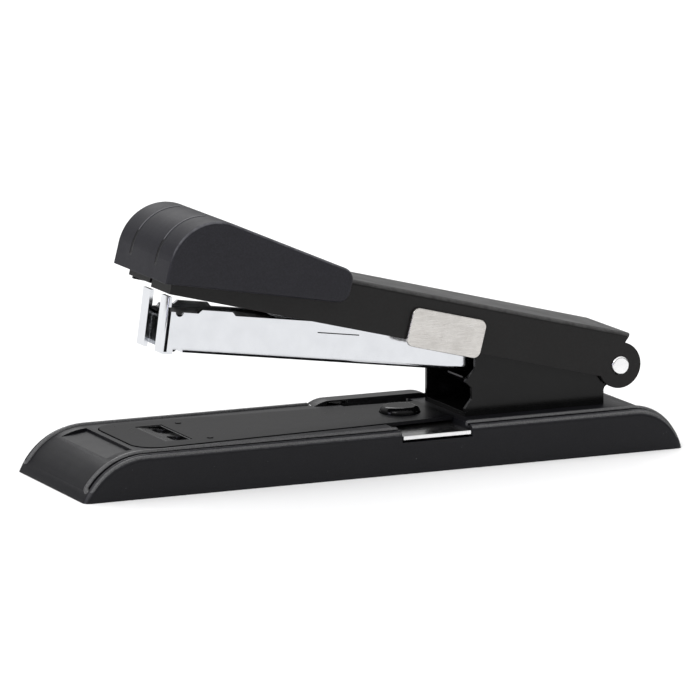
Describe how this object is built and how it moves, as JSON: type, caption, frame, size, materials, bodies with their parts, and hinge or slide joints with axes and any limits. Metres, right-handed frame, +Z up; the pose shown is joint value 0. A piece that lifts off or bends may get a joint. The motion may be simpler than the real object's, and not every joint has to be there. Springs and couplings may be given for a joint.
{
  "type": "stapler",
  "caption": "Half-strip desk stapler: curved base with anvil and clinch die, sprung chrome magazine with pusher, hinged cover with palm cap and side latch tab.",
  "frame": {"origin": "centre of the base's underside, on the surface that the stapler stands on", "axes": "+Z up; the stapling head is at -X and the hinge at +X; the side latch tab faces -Y"},
  "size_m": [0.15, 0.0406, 0.0606],
  "materials": {
    "base_paint": "fine-textured satin black paint",
    "sole_rubber": "matte, non-slip",
    "plated_steel": "zinc plated",
    "anvil_paint": "smooth satin black paint",
    "die_steel": "blackened, polished where it is worked",
    "bright_steel": "polished",
    "black_gloss": "gloss black enamel",
    "spring_steel": "bare spring steel",
    "bracket_enamel": "gloss black enamel",
    "magazine_chrome": "bright chrome plate",
    "rail_black": "black oxide",
    "guide_black": "matte black",
    "staple_wire": "galvanised wire",
    "cover_paint": "satin black paint",
    "cap_plastic": "matte, finely grained",
    "tab_nickel": "satin nickel plate"
  },
  "bodies": {
    "base": {"base_shell": "base_paint", "base_sole": "sole_rubber", "base_weight": "plated_steel", "anvil_plate": "anvil_paint", "anvil_studs": "anvil_paint", "clinch_die": "die_steel", "release_spring": "spring_steel", "hinge_bracket": "bracket_enamel", "bracket_rivets": "plated_steel", "hinge_pin": "bright_steel", "pin_spacers": "plated_steel", "lift_spring": "spring_steel"},
    "release": {"release_plate": "bright_steel", "release_button": "black_gloss", "finger_tab": "black_gloss"},
    "magazine": {"magazine_channel": "magazine_chrome", "staple_rail": "rail_black", "staple_guide": "guide_black", "staple_strip": "staple_wire", "rod_blocks": "rail_black", "guide_rod": "plated_steel", "pusher_spring": "spring_steel"},
    "pusher": {"staple_pusher": "plated_steel"},
    "cover": {"cover_channel": "cover_paint", "palm_cap": "cap_plastic", "driver_blade": "die_steel", "blade_rivets": "plated_steel", "return_spring": "spring_steel"},
    "latch": {"side_tab": "tab_nickel", "tab_studs": "plated_steel", "latch_plate": "plated_steel"}
  },
  "joints": [
    {"name": "magazine_hinge", "type": "hinge", "parent": "base", "child": "magazine", "pos_m": [0.0625, 0, 0.0191], "axis": [0, 1, 0], "range_deg": [-8.9, 75], "stiffness_Nm_per_rad": 0.8, "springref_deg": 5.73, "deforming": ["lift_spring"]},
    {"name": "cover_hinge", "type": "hinge", "parent": "magazine", "child": "cover", "pos_m": [0.0625, 0, 0.0191], "axis": [0, 1, 0], "range_deg": [-6.2, 80], "stiffness_Nm_per_rad": 0.6, "springref_deg": 5.73, "deforming": ["return_spring"]},
    {"name": "pusher_slide", "type": "slide", "parent": "magazine", "child": "pusher", "axis": [0.9905, 0, -0.1374], "range_m": [0, 0.042], "stiffness_N_per_m": 40, "springref_m": -0.02, "deforming": ["pusher_spring"]},
    {"name": "latch_slide", "type": "slide", "parent": "cover", "child": "latch", "axis": [0.9694, 0, -0.2453], "range_m": [-0.0025, 0.0025]},
    {"name": "release_press", "type": "slide", "parent": "base", "child": "release", "axis": [0, 0, 1], "range_m": [-0.0005, 0], "stiffness_N_per_m": 2000, "springref_m": 0.001, "deforming": ["release_spring"]}
  ]
}
